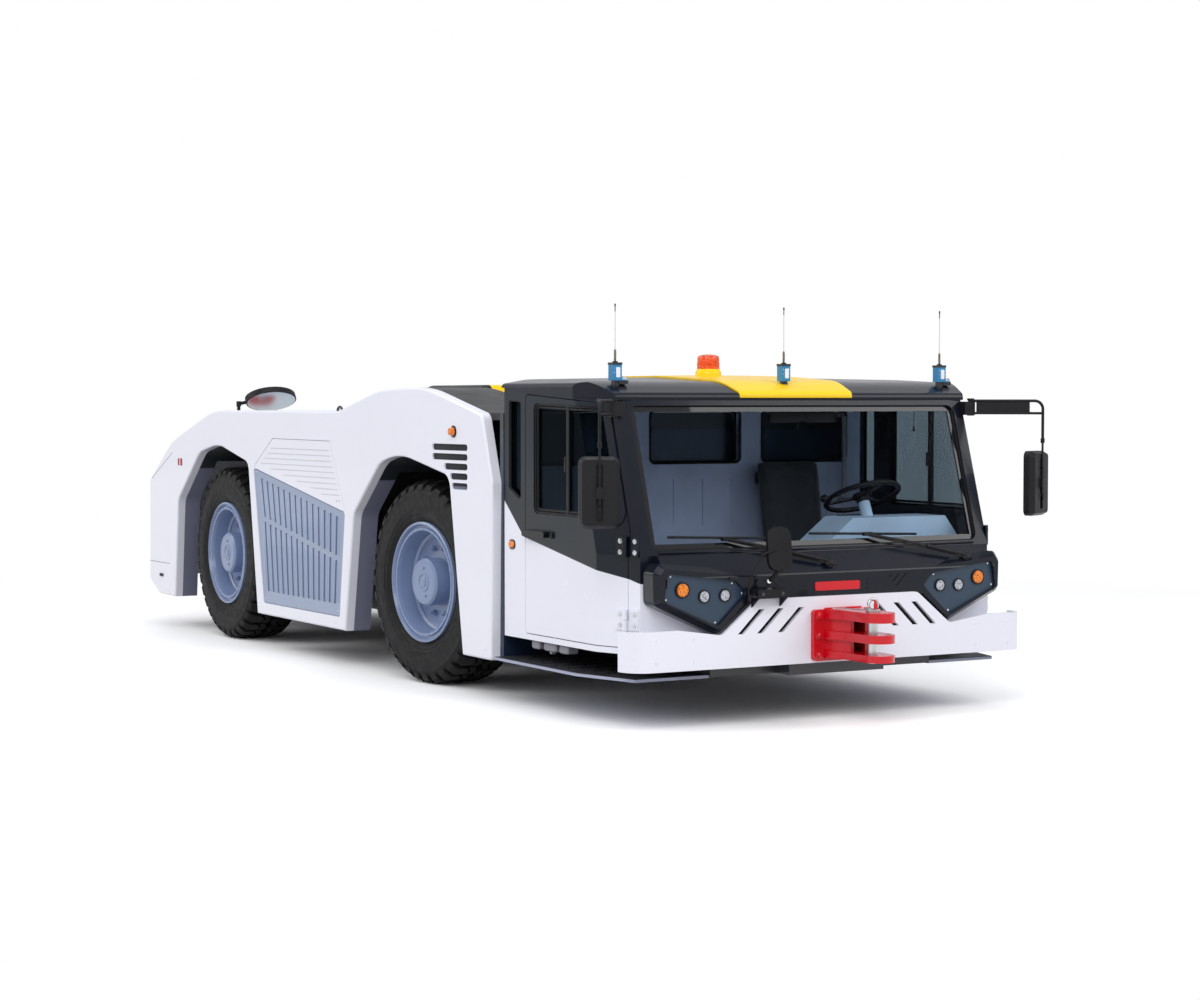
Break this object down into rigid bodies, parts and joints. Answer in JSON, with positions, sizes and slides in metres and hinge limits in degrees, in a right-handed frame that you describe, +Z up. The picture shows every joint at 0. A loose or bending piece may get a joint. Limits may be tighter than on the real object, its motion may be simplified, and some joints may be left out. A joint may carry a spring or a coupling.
{
  "type": "towbar aircraft tractor",
  "caption": "Low electric aircraft tow tractor with a full-width cab at the nose, fender-crowned body over lugged wheels, slotted side grilles and a pin hitch at each end.",
  "frame": {"origin": "on the ground at the middle of the overall length and width", "axes": "+Y to the tail, -Y to the nose, +X to the driver's left side, +Z up"},
  "size_m": [2.9614, 7.75, 2.1629],
  "materials": {
    "white_paint": "gloss",
    "grey_blue_paint": "satin",
    "liner_paint": "satin",
    "frame_paint": "satin",
    "dark_paint": "gloss",
    "panel_paint": "satin",
    "yellow_paint": "gloss",
    "cab_lining": "matte",
    "floor_rubber": "matte",
    "dash_plastic": "matte",
    "black_plastic": "satin",
    "seat_fabric": "matte",
    "glass": "clear",
    "lens_clear": "gloss",
    "lens_amber": "gloss",
    "lens_red": "gloss",
    "red_paint": "gloss",
    "zinc_steel": "satin",
    "mirror_glass": "polished",
    "aerial_plastic": "gloss",
    "tyre_rubber": "matte"
  },
  "bodies": {
    "chassis": {"aerials": "aerial_plastic", "amber_lamps": "lens_amber", "arch_liners": "liner_paint", "beacon": "lens_amber", "body_side_left": "white_paint", "body_side_right": "white_paint", "bulkhead": "liner_paint", "bumper": "white_paint", "cab_floor": "floor_rubber", "cab_frame": "dark_paint", "cab_rear_wall": "cab_lining", "chassis_frame": "frame_paint", "dash": "dash_plastic", "deck": "white_paint", "driver_seat": "seat_fabric", "fixed_panes": "glass", "front_axle": "frame_paint", "front_hitch": "red_paint", "head_lamps": "lens_clear", "hood_box": "dark_paint", "lamp_panels": "panel_paint", "mirror_panes": "mirror_glass", "mirrors": "black_plastic", "nose": "dark_paint", "power_block": "frame_paint", "rear_axle": "frame_paint", "rear_hitch": "red_paint", "rear_panel": "white_paint", "roof": "dark_paint", "roof_panel": "yellow_paint", "side_grilles": "grey_blue_paint", "steps": "frame_paint", "tail_lamps": "lens_red", "vent_panels": "white_paint", "windscreen": "glass"},
    "steer_left": {"knuckle_left": "frame_paint"},
    "steer_right": {"knuckle_right": "frame_paint"},
    "wheel_front_left": {"rim_front_left": "grey_blue_paint", "tyre_front_left": "tyre_rubber"},
    "wheel_front_right": {"rim_front_right": "grey_blue_paint", "tyre_front_right": "tyre_rubber"},
    "wheel_rear_left": {"rim_rear_left": "grey_blue_paint", "tyre_rear_left": "tyre_rubber"},
    "wheel_rear_right": {"rim_rear_right": "grey_blue_paint", "tyre_rear_right": "tyre_rubber"},
    "door_left": {"door_left": "dark_paint", "door_pane_left": "glass"},
    "door_right": {"door_right": "dark_paint", "door_pane_right": "glass"},
    "steering_wheel": {"steering_wheel": "black_plastic"},
    "front_pin": {"front_pin": "zinc_steel"},
    "rear_pin": {"rear_pin": "zinc_steel"}
  },
  "joints": [
    {"name": "steer_left_hinge", "type": "hinge", "parent": "chassis", "child": "steer_left", "pos_m": [0.94, -0.88, 0.6], "axis": [0, 0, 1], "range_deg": [-37.4, 26.6]},
    {"name": "steer_right_hinge", "type": "hinge", "parent": "chassis", "child": "steer_right", "pos_m": [-0.94, -0.88, 0.6], "axis": [0, 0, 1], "range_deg": [-37.4, 26.6]},
    {"name": "wheel_front_left_spin", "type": "hinge", "parent": "steer_left", "child": "wheel_front_left", "pos_m": [0.99973, -0.87435, 0.6], "axis": [0.9956, 0.0941, 0], "continuous": true},
    {"name": "wheel_front_right_spin", "type": "hinge", "parent": "steer_right", "child": "wheel_front_right", "pos_m": [-0.99973, -0.88565, 0.6], "axis": [0.9956, 0.0941, 0], "continuous": true},
    {"name": "wheel_rear_left_spin", "type": "hinge", "parent": "chassis", "child": "wheel_rear_left", "pos_m": [1, 2.26, 0.6], "axis": [1, 0, 0], "continuous": true},
    {"name": "wheel_rear_right_spin", "type": "hinge", "parent": "chassis", "child": "wheel_rear_right", "pos_m": [-1, 2.26, 0.6], "axis": [1, 0, 0], "continuous": true},
    {"name": "door_left_hinge", "type": "hinge", "parent": "chassis", "child": "door_left", "pos_m": [1.155, -3.21, 0.9], "axis": [0, 0, -1], "range_deg": [0, 70]},
    {"name": "door_right_hinge", "type": "hinge", "parent": "chassis", "child": "door_right", "pos_m": [-1.155, -3.21, 0.9], "axis": [0, 0, 1], "range_deg": [0, 70]},
    {"name": "steering_wheel_turn", "type": "hinge", "parent": "chassis", "child": "steering_wheel", "pos_m": [0.54, -2.905, 1.138], "axis": [0, 0.41, 0.9121], "range_deg": [-449, 320]},
    {"name": "front_pin_lift", "type": "slide", "parent": "chassis", "child": "front_pin", "axis": [0, 0, 1], "range_m": [0, 0.3]},
    {"name": "rear_pin_lift", "type": "slide", "parent": "chassis", "child": "rear_pin", "axis": [0, 0, 1], "range_m": [0, 0.22]}
  ],
  "couplings": [
    {"joint": "steer_right_hinge", "follows": "steer_left_hinge", "ratio": 1},
    {"joint": "steering_wheel_turn", "follows": "steer_left_hinge", "ratio": 12}
  ]
}
